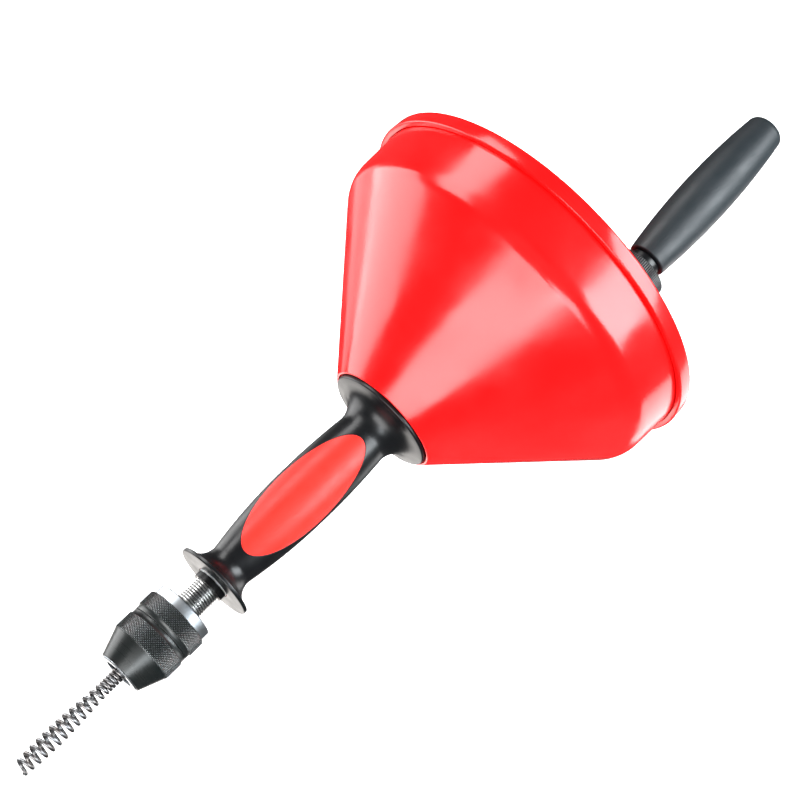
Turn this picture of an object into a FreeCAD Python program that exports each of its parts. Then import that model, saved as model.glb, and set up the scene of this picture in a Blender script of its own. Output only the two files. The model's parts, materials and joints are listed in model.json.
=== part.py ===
import FreeCAD, Part
import math
import os
import Sketcher
from FreeCAD import Placement, Rotation, Vector

# Hand drain auger with a closed drum.  Millimetres.
# +X runs along the spindle towards the cable's tip, the origin is on the spindle's axis at
# the middle of the grip, and +Z looks out of the grip's oval window.

# Driving dimensions.  A name that ends in _x is a station along the spindle, one that ends
# in _r is a radius, and one that ends in _z is a station along the crank, which is 0 where
# the crank handle begins and grows towards its free end.
DIMENSIONS = {
    # grip
    "grip_front_x": 64.6,
    "front_flange_r": 23.0,
    "front_flange_back_x": 62.4,
    "neck_x": 51.0,
    "neck_r": 12.8,
    "neck_flare": 11.0,
    "crown_x": -6.0,
    "crown_r": 17.25,
    "front_barrel_curve": 334.0,
    "rear_barrel_curve": 412.0,
    "waist_x": -47.0,
    "waist_r": 15.4,
    "waist_flare": 14.0,
    "flare_end_x": -60.6,
    "flare_end_r": 28.0,
    "rear_flange_r": 31.75,
    "rear_flange_front_x": -61.0,
    "rear_flange_back_x": -64.8,
    "flange_edge": 0.8,
    "cover_wall": 2.0,
    "core_front_r": 11.3,
    "core_back_x": -59.2,
    "core_bore_r": 8.6,
    "pad_depth": 1.0,
    "pocket_r": 17.0,
    "window_x": 0.4,
    "window_half_length": 43.5,
    "window_half_width": 16.1,
    # bushes and washers of the grip
    "bush_bore_r": 8.05,
    "front_bush_r": 9.5,
    "rear_bush_r": 10.0,
    "bush_length": 14.0,
    "washer_front_x": 64.7,
    "collar_back_x": 65.2,
    "collar_front_x": 68.7,
    "collar_r": 9.3,
    # spindle tube
    "tube_r": 8.0,
    "tube_bore_r": 5.2,
    "tube_front_x": 96.5,
    "flange_front_x": -72.3,
    "flange_back_x": -76.3,
    "flange_r": 22.0,
    "inlet_r": 7.4,
    "inlet_x": -70.0,
    "spindle_nut_front_x": -60.4,
    "spindle_nut_across_corners_r": 13.9,
    "rear_washer_front_x": -59.3,
    "rear_washer_r": 12.5,
    "spindle_screw_pitch_r": 15.5,
    "spindle_screw_depth": 1.6,
    "nose_hole_length": 6.0,
    # chuck
    "chuck_back_x": 84.5,
    "chuck_ring_x": 90.4,
    "chuck_ring_r": 17.25,
    "chuck_ring_edge": 0.6,
    "chuck_flange_r": 16.6,
    "chuck_flange_front_x": 107.0,
    "chuck_waist_r": 13.4,
    "nut_seat_back_x": 110.4,
    "nut_seat_front_x": 118.2,
    "nut_seat_r": 11.0,
    "nose_r": 12.2,
    "nose_x": 132.0,
    "nose_edge": 0.4,
    "nose_mouth_r": 8.4,
    "nose_mouth_x": 127.0,
    "chuck_bore_r": 6.7,
    "knurl_r": 19.0,
    "knurl_edge": 0.5,
    "groove_r": 18.3,
    "rear_sleeve_back_x": 90.5,
    "rear_knurl_front_x": 99.75,
    "rear_sleeve_front_x": 102.65,
    "front_sleeve_back_x": 102.95,
    "front_knurl_back_x": 105.7,
    "cone_x": 115.4,
    "cone_front_x": 131.3,
    "cone_front_r": 12.95,
    "sleeve_bore_r": 12.3,
    "sleeve_step_x": 120.6,
    "sleeve_seat_r": 16.8,
    "chuck_nut_back_x": 110.5,
    "chuck_nut_front_x": 118.1,
    "chuck_nut_back_bore_r": 13.2,
    "chuck_nut_front_bore_r": 11.2,
    "race_front_x": 108.2,
    "race_bore_r": 14.3,
    "ball_r": 1.1,
    "ball_pitch_r": 15.45,
    "jaw_r": 3.0,
    "jaw_hole_r": 3.1,
    "jaw_front_x": 130.5,
    "jaw_front_offset": 4.6,
    "jaw_length": 27.4,
    "jaw_angle": 15.0,
    "jaw_closed_r": 4.05,
    "jaw_trim": 2.0,
    "jaw_hole_mouth": 4.0,
    "jaw_hole_length": 41.4,
    "jaw_flat_height": 12.05,
    # cable
    "cable_r": 4.0,
    "cable_back_x": -84.5,
    "bulb_back_x": 143.5,
    "bulb_swell_x": 162.0,
    "bulb_swell_r": 5.2,
    "bulb_widest_x": 177.0,
    "bulb_widest_r": 5.85,
    "bulb_taper_x": 190.0,
    "bulb_taper_r": 5.4,
    "bulb_tip_x": 201.0,
    "bulb_tip_r": 4.6,
    "lead_in_front_x": -95.5,
    "lead_in_bend_r": 32.0,
    "outer_turn_r": 92.5,
    "last_turn_x": -175.5,
    "turn_pitch": 8.2,
    "clip_groove_gap": 0.05,
    "clip_screw_length": 12.4,
    "clip_bore_length": 20.0,
    "clip_hole_length": 3.2,
    # drum
    "lip_x": -63.0,
    "lip_r": 33.6,
    "lip_bore_r": 32.55,
    "recess_x": -66.4,
    "nose_hole_r": 8.1,
    "cone_end_x": -143.3,
    "cone_end_r": 102.8,
    "shoulder_end_x": -155.0,
    "shoulder_end_r": 107.6,
    "shoulder_curve": 18.0,
    "shell_back_x": -182.0,
    "shell_back_r": 108.4,
    "shell_wall": 3.0,
    "inner_shift_x": 1.0,
    "inner_shift_r": 3.3,
    "floor_r": 36.0,
    "boss_pitch_r": 101.3,
    "boss_r": 4.0,
    "boss_front_x": -156.0,
    "boss_hole_length": 14.0,
    "lid_screw_length": 14.1,
    # lid
    "rim_front_x": -178.2,
    "rim_r": 112.1,
    "rim_bore_r": 108.9,
    "rim_back_x": -187.2,
    "rim_back_r": 111.5,
    "rim_inner_r": 106.0,
    "rim_inner_draft": 1.0,
    "rim_back_edge": 0.8,
    "rim_front_edge": 0.4,
    "rim_band": 1.0,
    "plate_front_x": -182.1,
    "plate_back_x": -185.1,
    "hub_back_x": -190.2,
    "hub_front_x": -181.2,
    "hub_r": 16.5,
    "hub_edge": 1.2,
    "journal_gap": 0.1,
    "rib_height": 1.9,
    "rib_width": 2.4,
    "rib_root": 0.5,
    "rib_overlap": 0.2,
    "lid_screw_hole_length": 8.0,
    "lid_shank_hole_length": 12.0,
    # drive shank
    "shank_r": 5.0,
    "journal_r": 6.0,
    "journal_back_x": -193.2,
    "shank_flange_r": 14.0,
    "shank_flange_front_x": -177.2,
    "shank_end_x": -222.0,
    "shank_edge": 0.8,
    "shank_screw_pitch_r": 10.6,
    "shank_hole_length": 8.0,
    "shank_screw_head_edge": 0.8,
    "shank_screw_head_rim": 0.6,
    "shank_screw_tip": 0.5,
    # crank
    "crank_x": -205.0,
    "crank_y": 36.6,
    "crank_height": 75.0,
    "crank_lean": 2.4,
    "crank_boss_r": 18.0,
    "crank_boss_front_z": -23.8,
    "crank_boss_back_z": -14.6,
    "insert_r": 8.0,
    "axle_thread_r": 5.0,
    "axle_recess": 0.5,
    "crank_collar_r": 16.6,
    "crank_collar_back_z": -7.2,
    "crank_collar_edge": 0.7,
    "spacer_r": 8.6,
    "spacer_back_z": -0.5,
    "axle_r": 4.0,
    "axle_end_z": 88.0,
    "handle_bore_r": 4.08,
    "handle_base_r": 10.75,
    "handle_edge": 0.8,
    "handle_crown_z": 50.0,
    "handle_crown_r": 13.62,
    "handle_curve": 437.0,
    "handle_shoulder_z": 102.0,
    "handle_shoulder_r": 10.5,
    "handle_end_z": 106.0,
    "handle_end_r": 7.6,
    "handle_end_curve": 4.6,
    "handle_pocket_z": 87.9,
    "handle_pocket_r": 7.4,
    "handle_cap_z": 101.5,
    "axle_washer_back_z": 89.2,
    "axle_washer_r": 7.0,
    "axle_screw_r": 2.5,
    "axle_screw_front_z": 74.0,
    "axle_screw_head_r": 4.5,
    "axle_screw_head_z": 92.4,
    # small screws
    "m4_shank_r": 1.95,
    "m4_hole_r": 2.0,
    "m4_head_r": 3.4,
    "m4_head_height": 2.0,
    "hole_overshoot": 1.0,
}

JAW_COUNT = 3
JAW_CUTTER_SIZE = 60.0
BALL_COUNT = 24
SPINDLE_SCREWS = 3
SHANK_SCREWS = 3
LID_SCREWS = 6
TURNS_PER_LAYER = (4, 5, 4)
ANCHORED_TURN_SWEEP = 300.0
LEAD_IN_WRAP = 150.0
CLIP_SIZE = (10.4, 12.0, 14.1)
CLIP_SCREW_INSET = 4.5
CLIP_ANGLE = 185.0

document = FreeCAD.newDocument("drain_auger")
sheet = document.addObject("Spreadsheet::Sheet", "Dimensions")
for row, (alias, size) in enumerate(DIMENSIONS.items(), start=1):
    sheet.set(f"A{row}", alias)
    sheet.set(f"B{row}", str(size))
    sheet.setAlias(f"B{row}", alias)
document.recompute()

SIGNS = {"+": 1, "-": -1}
crank_angle = math.degrees(math.atan2(DIMENSIONS["crank_height"], DIMENSIONS["crank_y"]))


def value(text):
    """The size that a sum of dimension names, such as "neck_r - cover_wall", comes to."""
    total = 0.0
    sign = 1
    for word in text.split():
        if word in SIGNS:
            sign = SIGNS[word]
        else:
            total += sign * (DIMENSIONS[word] if word in DIMENSIONS else float(word))
            sign = 1
    return total


def bound(text):
    """The same sum as an expression on the spreadsheet."""
    words = [f"Dimensions.{word}" if word in DIMENSIONS else word for word in text.split()]
    return " ".join(words)


def arc_between(start, end, radius, bulge):
    """The short arc between two points; bulge is +1 if it bows away from the axis.
    A sketch keeps its arcs counter-clockwise, so the second result says if this one runs
    from end to start."""
    middle = (start + end) * 0.5
    chord = end - start
    across = Vector(-chord.y, chord.x, 0).normalize()
    if across.y * bulge < 0:
        across = -across
    centre = middle - across * math.sqrt(radius ** 2 - (chord.Length / 2) ** 2)
    backwards = (start - centre).cross(end - centre).z < 0
    first, last = (end, start) if backwards else (start, end)
    angles = [math.atan2(point.y - centre.y, point.x - centre.x) for point in (first, last)]
    if angles[1] < angles[0]:
        angles[1] += 2 * math.pi
    circle = Part.Circle(centre, Vector(0, 0, 1), radius)
    return Part.ArcOfCircle(circle, *angles), backwards


def add_outline(sketch, outline):
    """Draw a closed outline.  Each point is (station, radius), and one with a third and a
    fourth entry ends an arc of that radius and bulge, which starts at the point before."""
    points = [Vector(value(point[0]), value(point[1]), 0) for point in outline]
    ends = []
    for i, point in enumerate(outline):
        if len(point) == 4:
            edge, backwards = arc_between(points[i - 1], points[i], value(point[2]), point[3])
        else:
            edge, backwards = Part.LineSegment(points[i - 1], points[i]), False
        sketch.addGeometry(edge, False)
        ends.append((2, 1) if backwards else (1, 2))
    for i, point in enumerate(outline):
        following = (i + 1) % len(outline)
        sketch.addConstraint(Sketcher.Constraint("Coincident", i, ends[i][1],
                                                 following, ends[following][0]))
        bind_point(sketch, i, ends[i][1], point, points[i])
        if len(point) == 4:
            tie = sketch.addConstraint(Sketcher.Constraint("Radius", i, value(point[2])))
            sketch.setExpression(f"Constraints[{tie}]", bound(point[2]))


def bind_point(sketch, edge, end, point, place):
    """Tie one corner of an outline to its two sizes in the spreadsheet."""
    tie = sketch.addConstraint(Sketcher.Constraint("DistanceX", edge, end, place.x))
    sketch.setExpression(f"Constraints[{tie}]", bound(point[0]))
    if abs(place.y) < 1e-9:
        sketch.addConstraint(Sketcher.Constraint("PointOnObject", edge, end, -1))
    else:
        tie = sketch.addConstraint(Sketcher.Constraint("DistanceY", edge, end, place.y))
        sketch.setExpression(f"Constraints[{tie}]", bound(point[1]))


def plane(body, role):
    for feature in body.Origin.OriginFeatures:
        if feature.Role == role:
            return feature


def turned(label, outline, place=Placement()):
    """A turned piece: its half section, revolved about the X axis of its own body."""
    body = document.addObject("PartDesign::Body", label)
    body.Label = label
    sketch = body.newObject("Sketcher::SketchObject", label + "_section")
    sketch.AttachmentSupport = (plane(body, "XY_Plane"), [""])
    sketch.MapMode = "FlatFace"
    add_outline(sketch, outline)
    revolution = body.newObject("PartDesign::Revolution", label + "_turned")
    revolution.Profile = sketch
    revolution.ReferenceAxis = (sketch, ["H_Axis"])
    revolution.Angle = 360
    body.Placement = place
    return body


def ring(label, back, front, bore, outer, place=Placement()):
    """A plain ring or sleeve; a bore of "0" leaves it solid."""
    return turned(label, [(back, bore), (back, outer), (front, outer), (front, bore)], place)


def primitive(kind, label, place, **sizes):
    item = document.addObject("Part::" + kind, label)
    for name, text in sizes.items():
        setattr(item, name, value(text))
        item.setExpression(name, bound(text))
    item.Placement = place
    return item


def fused(label, pieces):
    item = document.addObject("Part::MultiFuse", label)
    item.Shapes = pieces
    return item


def common(label, pieces):
    item = document.addObject("Part::MultiCommon", label)
    item.Shapes = pieces
    return item


def cut(label, base, tools):
    item = document.addObject("Part::Cut", label)
    item.Base = base
    item.Tool = tools[0] if len(tools) == 1 else fused(label + "_cutters", tools)
    return item


def about_x(angle):
    return Placement(Vector(), Rotation(Vector(1, 0, 0), angle))


def along_x(x, radius, angle):
    """A place on a circle about the spindle, with the piece's Z axis along +X."""
    spot = Placement(Vector(x, radius, 0), Rotation(Vector(0, 1, 0), 90))
    return about_x(angle).multiply(spot)


def bolt_circle(count, start):
    return [start + 360.0 / count * i for i in range(count)]


def copies(label, source, places):
    """One node for identical pieces, each a separate solid."""
    document.recompute()
    solids = []
    for place in places:
        solid = source.Shape.copy()
        solid.Placement = place.multiply(solid.Placement)
        solids.append(solid)
    item = document.addObject("Part::Feature", label)
    item.Shape = Part.makeCompound(solids)
    return item


def holes(label, radius, length, x, pitch, angles):
    return [primitive("Cylinder", f"{label}_{i}", along_x(x, value(pitch), angle),
                      Radius=radius, Height=length)
            for i, angle in enumerate(angles)]


# ---------------------------------------------------------------- grip

BARREL = [
    ("waist_x", "waist_r"),
    ("crown_x", "crown_r", "rear_barrel_curve", 1),
    ("neck_x", "neck_r", "front_barrel_curve", 1),
]


def grip_window():
    """An elliptical prism through the grip, which both oval windows follow."""
    oval = document.addObject("Part::Ellipse", "window_oval")
    oval.setExpression("MajorRadius", bound("window_half_length"))
    oval.setExpression("MinorRadius", bound("window_half_width"))
    oval.Placement = Placement(Vector(value("window_x"), 0, -value("rear_flange_r")), Rotation())
    prism = document.addObject("Part::Extrusion", "window_prism")
    prism.Base = oval
    prism.Dir = Vector(0, 0, 1)
    prism.DirMode = "Custom"
    prism.LengthFwd = 2 * value("rear_flange_r")
    prism.Solid = True
    return prism


def make_grip():
    window = grip_window()
    core_tube = turned("core_tube", [
        ("core_back_x", "rear_bush_r"),
        ("core_back_x", "waist_r - cover_wall"),
        ("waist_x", "waist_r - cover_wall"),
        ("crown_x", "crown_r - cover_wall", "rear_barrel_curve - cover_wall", 1),
        ("neck_x", "core_front_r", "front_barrel_curve - cover_wall", 1),
        ("grip_front_x", "core_front_r"),
        ("grip_front_x", "front_bush_r"),
        ("grip_front_x - bush_length", "front_bush_r"),
        ("grip_front_x - bush_length", "core_bore_r"),
        ("core_back_x + bush_length", "core_bore_r"),
        ("core_back_x + bush_length", "rear_bush_r"),
    ])
    pad_ring = turned("pad_ring", BARREL + [
        ("neck_x", "core_front_r - pad_depth"),
        ("waist_x", "core_front_r - pad_depth"),
    ])
    pads = common("window_pads", [pad_ring, window])
    fused("grip_core", [core_tube, pads])
    cover_shell = turned("cover_shell", [
        ("rear_flange_back_x", "pocket_r"),
        ("rear_flange_back_x", "rear_flange_r - flange_edge"),
        ("rear_flange_back_x + flange_edge", "rear_flange_r"),
        ("rear_flange_front_x - flange_edge", "rear_flange_r"),
        ("rear_flange_front_x", "rear_flange_r - flange_edge"),
        ("rear_flange_front_x", "flare_end_r"),
        ("flare_end_x", "flare_end_r"),
        ("waist_x", "waist_r", "waist_flare", -1),
        ("crown_x", "crown_r", "rear_barrel_curve", 1),
        ("neck_x", "neck_r", "front_barrel_curve", 1),
        ("front_flange_back_x", "front_flange_r - flange_edge", "neck_flare", -1),
        ("front_flange_back_x + flange_edge", "front_flange_r"),
        ("grip_front_x - flange_edge", "front_flange_r"),
        ("grip_front_x", "front_flange_r - flange_edge"),
        ("grip_front_x", "core_front_r"),
        ("neck_x", "core_front_r"),
        ("crown_x", "crown_r - cover_wall", "front_barrel_curve - cover_wall", 1),
        ("waist_x", "waist_r - cover_wall", "rear_barrel_curve - cover_wall", 1),
        ("core_back_x", "waist_r - cover_wall"),
        ("core_back_x", "pocket_r"),
    ])
    cut("grip_cover", cover_shell, [window])
    ring("grip_bush_front", "grip_front_x - bush_length", "grip_front_x",
         "bush_bore_r", "front_bush_r")
    ring("grip_bush_rear", "core_back_x", "core_back_x + bush_length",
         "bush_bore_r", "rear_bush_r")


# ------------------------------------------------------------- spindle

def make_spindle():
    screw_angles = bolt_circle(SPINDLE_SCREWS, 0)
    tube = turned("spindle_blank", [
        ("flange_back_x", "inlet_r"),
        ("flange_back_x", "flange_r"),
        ("flange_front_x", "flange_r"),
        ("flange_front_x", "tube_r"),
        ("tube_front_x", "tube_r"),
        ("tube_front_x", "tube_bore_r"),
        ("inlet_x", "tube_bore_r"),
    ])
    flange_holes = holes("spindle_hole", "m4_hole_r",
                         "flange_front_x - flange_back_x + hole_overshoot + hole_overshoot",
                         value("flange_back_x - hole_overshoot"), "spindle_screw_pitch_r",
                         screw_angles)
    cut("spindle_tube", tube, flange_holes)
    screw = turned("spindle_screw_master", [
        ("flange_back_x - m4_head_height", "0"),
        ("flange_back_x - m4_head_height", "m4_head_r"),
        ("flange_back_x", "m4_head_r"),
        ("flange_back_x", "m4_shank_r"),
        ("recess_x - spindle_screw_depth", "m4_shank_r"),
        ("recess_x - spindle_screw_depth", "0"),
    ])
    pitch = Vector(0, value("spindle_screw_pitch_r"), 0)
    copies("spindle_screws", screw,
           [about_x(angle).multiply(Placement(pitch, Rotation())) for angle in screw_angles])
    make_spindle_nut()
    ring("thrust_washer_rear", "spindle_nut_front_x", "rear_washer_front_x",
         "bush_bore_r", "rear_washer_r")
    ring("thrust_washer_front", "washer_front_x", "collar_back_x", "bush_bore_r", "collar_r")
    ring("lock_collar", "collar_back_x", "collar_front_x", "tube_r", "collar_r")


def make_spindle_nut():
    blank = document.addObject("Part::Prism", "spindle_nut_blank")
    blank.Polygon = 6
    blank.setExpression("Circumradius", bound("spindle_nut_across_corners_r"))
    blank.setExpression("Height", bound("spindle_nut_front_x - recess_x"))
    blank.Placement = along_x(value("recess_x"), 0, 0)
    bore = primitive("Cylinder", "spindle_nut_bore", along_x(value("recess_x - hole_overshoot"), 0, 0),
                     Radius="tube_r",
                     Height="spindle_nut_front_x - recess_x + hole_overshoot + hole_overshoot")
    cut("spindle_nut", blank, [bore])


# --------------------------------------------------------------- chuck

def jaw_line(angle, ahead):
    """A place on a jaw's axis, ahead of its front end, with Z running back along the jaw."""
    slope = math.radians(value("jaw_angle"))
    start = Vector(value("jaw_front_x") + ahead * math.cos(slope), 0,
                   value("jaw_front_offset") - ahead * math.sin(slope))
    spot = Placement(start, Rotation(Vector(0, 1, 0), value("jaw_angle") - 90))
    return about_x(angle).multiply(spot)


def make_jaw(number, angle):
    """A rod on a slanted axis, with a flat parallel to the cable and a square front end."""
    rod = primitive("Cylinder", f"jaw_rod_{number}", jaw_line(angle, value("jaw_trim")),
                    Radius="jaw_r", Height="jaw_length + jaw_trim")
    reach = JAW_CUTTER_SIZE
    flat = document.addObject("Part::Box", f"jaw_flat_{number}")
    flat.Length = 2 * reach
    flat.Width = reach
    flat.setExpression("Height", bound("jaw_flat_height"))
    flat.Placement = about_x(angle).multiply(
        Placement(Vector(value("jaw_front_x") - reach, -reach / 2,
                         value("jaw_closed_r - jaw_flat_height")), Rotation()))
    front = document.addObject("Part::Box", f"jaw_front_{number}")
    front.Length = reach
    front.Width = reach
    front.Height = reach
    front.Placement = about_x(angle).multiply(
        Placement(Vector(value("jaw_front_x"), -reach / 2, -reach / 2), Rotation()))
    cut(f"jaw_{number}", rod, [flat, front])


def make_chuck():
    angles = bolt_circle(JAW_COUNT, 0)
    blank = turned("chuck_blank", [
        ("chuck_back_x", "tube_r"),
        ("chuck_back_x", "chuck_ring_r - chuck_ring_edge"),
        ("chuck_back_x + chuck_ring_edge", "chuck_ring_r"),
        ("chuck_ring_x", "chuck_ring_r"),
        ("chuck_ring_x", "chuck_flange_r"),
        ("chuck_flange_front_x", "chuck_flange_r"),
        ("chuck_flange_front_x", "chuck_waist_r"),
        ("nut_seat_back_x", "chuck_waist_r"),
        ("nut_seat_back_x", "nut_seat_r"),
        ("nut_seat_front_x", "nut_seat_r"),
        ("nut_seat_front_x", "nose_r"),
        ("nose_x - nose_edge", "nose_r"),
        ("nose_x", "nose_r - nose_edge"),
        ("nose_x", "nose_mouth_r"),
        ("nose_mouth_x", "nose_mouth_r"),
        ("nose_mouth_x", "chuck_bore_r"),
        ("tube_front_x", "chuck_bore_r"),
        ("tube_front_x", "tube_r"),
    ])
    jaw_holes = [primitive("Cylinder", f"jaw_hole_{i}", jaw_line(angle, value("jaw_hole_mouth")),
                           Radius="jaw_hole_r", Height="jaw_hole_length")
                 for i, angle in enumerate(angles)]
    cut("chuck_body", blank, jaw_holes)
    for number, angle in enumerate(angles, start=1):
        make_jaw(number, angle)
    turned("chuck_rear_sleeve", [
        ("rear_sleeve_back_x", "chuck_flange_r"),
        ("rear_sleeve_back_x", "knurl_r - knurl_edge"),
        ("rear_sleeve_back_x + knurl_edge", "knurl_r"),
        ("rear_knurl_front_x", "knurl_r"),
        ("rear_knurl_front_x", "groove_r"),
        ("rear_sleeve_front_x", "groove_r"),
        ("rear_sleeve_front_x", "chuck_flange_r"),
    ])
    turned("chuck_front_sleeve", [
        ("front_sleeve_back_x", "sleeve_seat_r"),
        ("front_sleeve_back_x", "groove_r"),
        ("front_knurl_back_x", "groove_r"),
        ("front_knurl_back_x", "knurl_r"),
        ("cone_x", "knurl_r"),
        ("cone_front_x", "cone_front_r"),
        ("cone_front_x", "sleeve_bore_r"),
        ("sleeve_step_x", "sleeve_bore_r"),
        ("chuck_nut_front_x", "sleeve_seat_r"),
    ])
    turned("chuck_nut", [
        ("chuck_nut_back_x", "chuck_nut_back_bore_r"),
        ("chuck_nut_back_x", "sleeve_seat_r"),
        ("chuck_nut_front_x", "sleeve_seat_r"),
        ("chuck_nut_front_x", "chuck_nut_front_bore_r"),
    ])
    ring("chuck_race", "chuck_flange_front_x", "race_front_x", "race_bore_r", "chuck_flange_r")
    make_balls()


def make_balls():
    balls = []
    for i, angle in enumerate(bolt_circle(BALL_COUNT, 0)):
        place = along_x(value("race_front_x + ball_r"), value("ball_pitch_r"), angle)
        balls.append(primitive("Sphere", f"ball_{i}", place, Radius="ball_r"))
    group = document.addObject("Part::Compound", "chuck_balls")
    group.Links = balls


# --------------------------------------------------------------- cable

def make_cable():
    ring("snake_shaft", "cable_back_x", "bulb_back_x", "0", "cable_r")
    turned("snake_head", [
        ("bulb_back_x", "0"),
        ("bulb_back_x", "cable_r"),
        ("bulb_swell_x", "bulb_swell_r"),
        ("bulb_widest_x", "bulb_widest_r"),
        ("bulb_taper_x", "bulb_taper_r"),
        ("bulb_tip_x", "bulb_tip_r"),
        ("bulb_tip_x", "0"),
    ])
    make_coil()
    make_lead_in()


def turn_at(layer, number, sweep=360.0):
    """One turn of the stored cable, wound about the spindle's axis."""
    radius = value("outer_turn_r") - layer * value("turn_pitch")
    x = value("last_turn_x") + number * value("turn_pitch")
    name = f"turn_{layer}_{number}"
    turn = document.addObject("Part::Torus", name)
    turn.Radius1 = radius
    turn.setExpression("Radius1", bound("outer_turn_r") + f" - {layer} * Dimensions.turn_pitch")
    turn.setExpression("Radius2", bound("cable_r"))
    turn.Angle3 = sweep
    turn.Placement = Placement(Vector(x, 0, 0), Rotation(Vector(0, 1, 0), 90))
    return turn


def make_coil():
    turns = []
    for layer, count in enumerate(TURNS_PER_LAYER):
        innermost = layer == len(TURNS_PER_LAYER) - 1
        for number in range(count):
            anchored = innermost and number == 0
            turns.append(turn_at(layer, number, ANCHORED_TURN_SWEEP if anchored else 360.0))
    group = document.addObject("Part::Compound", "snake_coil")
    group.Links = turns


def make_lead_in():
    """The cable's run from the spindle's flared inlet out to the stored turns."""
    layer_r = value("outer_turn_r") - 2 * value("turn_pitch")
    plane_x = value("last_turn_x") + TURNS_PER_LAYER[2] * value("turn_pitch")
    bend = value("lead_in_bend_r")
    start = Vector(value("lead_in_front_x"), 0, 0)
    bend_start = Vector(plane_x + bend, 0, 0)
    bend_end = Vector(plane_x, bend, 0)
    half = bend * math.sqrt(0.5)
    bend_middle = Vector(plane_x + bend - half, bend - half, 0)
    sweep_r = (layer_r ** 2 - bend ** 2) / (2 * layer_r)
    centre = Vector(plane_x, bend, sweep_r)
    join = math.atan2(sweep_r, bend)

    def on_sweep(angle):
        return centre + Vector(0, math.cos(angle), math.sin(angle)) * sweep_r

    def on_layer(angle):
        return Vector(plane_x, layer_r * math.cos(angle), layer_r * math.sin(angle))

    wrap = math.radians(LEAD_IN_WRAP)
    path = Part.Wire([
        Part.LineSegment(start, bend_start).toShape(),
        Part.Arc(bend_start, bend_middle, bend_end).toShape(),
        Part.Arc(bend_end, on_sweep((join - math.pi / 2) / 2), on_sweep(join)).toShape(),
        Part.Arc(on_layer(join), on_layer(join + wrap / 2), on_layer(join + wrap)).toShape(),
    ])
    section = Part.Wire([Part.makeCircle(value("cable_r"), start, Vector(1, 0, 0))])
    item = document.addObject("Part::Feature", "snake_lead_in")
    item.Shape = path.makePipeShell([section], True, False)
    whole = math.pi * value("cable_r") ** 2 * path.Length
    print("lead-in length %.1f mm, bends %.1f and %.1f mm, volume ratio %.4f"
          % (path.Length, bend, sweep_r, item.Shape.Volume / whole))
    turn_lengths = sum(2 * math.pi * (value("outer_turn_r") - i * value("turn_pitch")) * count
                       for i, count in enumerate(TURNS_PER_LAYER))
    straight = value("bulb_tip_x - cable_back_x")
    print("cable length %.0f mm" % (turn_lengths + path.Length + straight))


def make_anchor():
    """The cradle on the lid in which the cable's inner end lies, under the next layer of turns,
    and its screw.  Returns the place of its screw hole in the lid."""
    depth, width, height = CLIP_SIZE
    top_r = value("outer_turn_r - turn_pitch - turn_pitch")
    block = document.addObject("Part::Box", "anchor_block")
    block.Length = depth
    block.Width = width
    block.Height = height
    block.Placement = about_x(CLIP_ANGLE).multiply(
        Placement(Vector(value("plate_front_x"), -width / 2, top_r - height), Rotation()))
    groove = document.addObject("Part::Torus", "anchor_groove")
    groove.setExpression("Radius1", bound("outer_turn_r - turn_pitch - turn_pitch"))
    groove.setExpression("Radius2", bound("cable_r + clip_groove_gap"))
    groove.Placement = Placement(Vector(value("last_turn_x"), 0, 0),
                                 Rotation(Vector(0, 1, 0), 90))
    screw_r = top_r - height + CLIP_SCREW_INSET
    spot = about_x(CLIP_ANGLE + 90).multiply(
        Placement(Vector(value("plate_front_x - hole_overshoot"), screw_r, 0),
                  Rotation(Vector(0, 1, 0), 90)))
    bore = primitive("Cylinder", "anchor_bore", spot, Radius="m4_hole_r",
                     Height="clip_bore_length")
    cut("snake_anchor", block, [groove, bore])
    seat = Placement(Vector(value("plate_front_x") + depth, screw_r, 0), Rotation())
    turned("anchor_screw", [
        ("m4_head_height", "0"),
        ("m4_head_height", "m4_head_r"),
        ("0", "m4_head_r"),
        ("0", "m4_shank_r"),
        ("0 - clip_screw_length", "m4_shank_r"),
        ("0 - clip_screw_length", "0"),
    ], about_x(CLIP_ANGLE + 90).multiply(seat))
    hole_x = value("plate_front_x + hole_overshoot - clip_hole_length")
    return about_x(CLIP_ANGLE + 90).multiply(
        Placement(Vector(hole_x, screw_r, 0), Rotation(Vector(0, 1, 0), 90)))


# ---------------------------------------------------------------- drum

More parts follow.
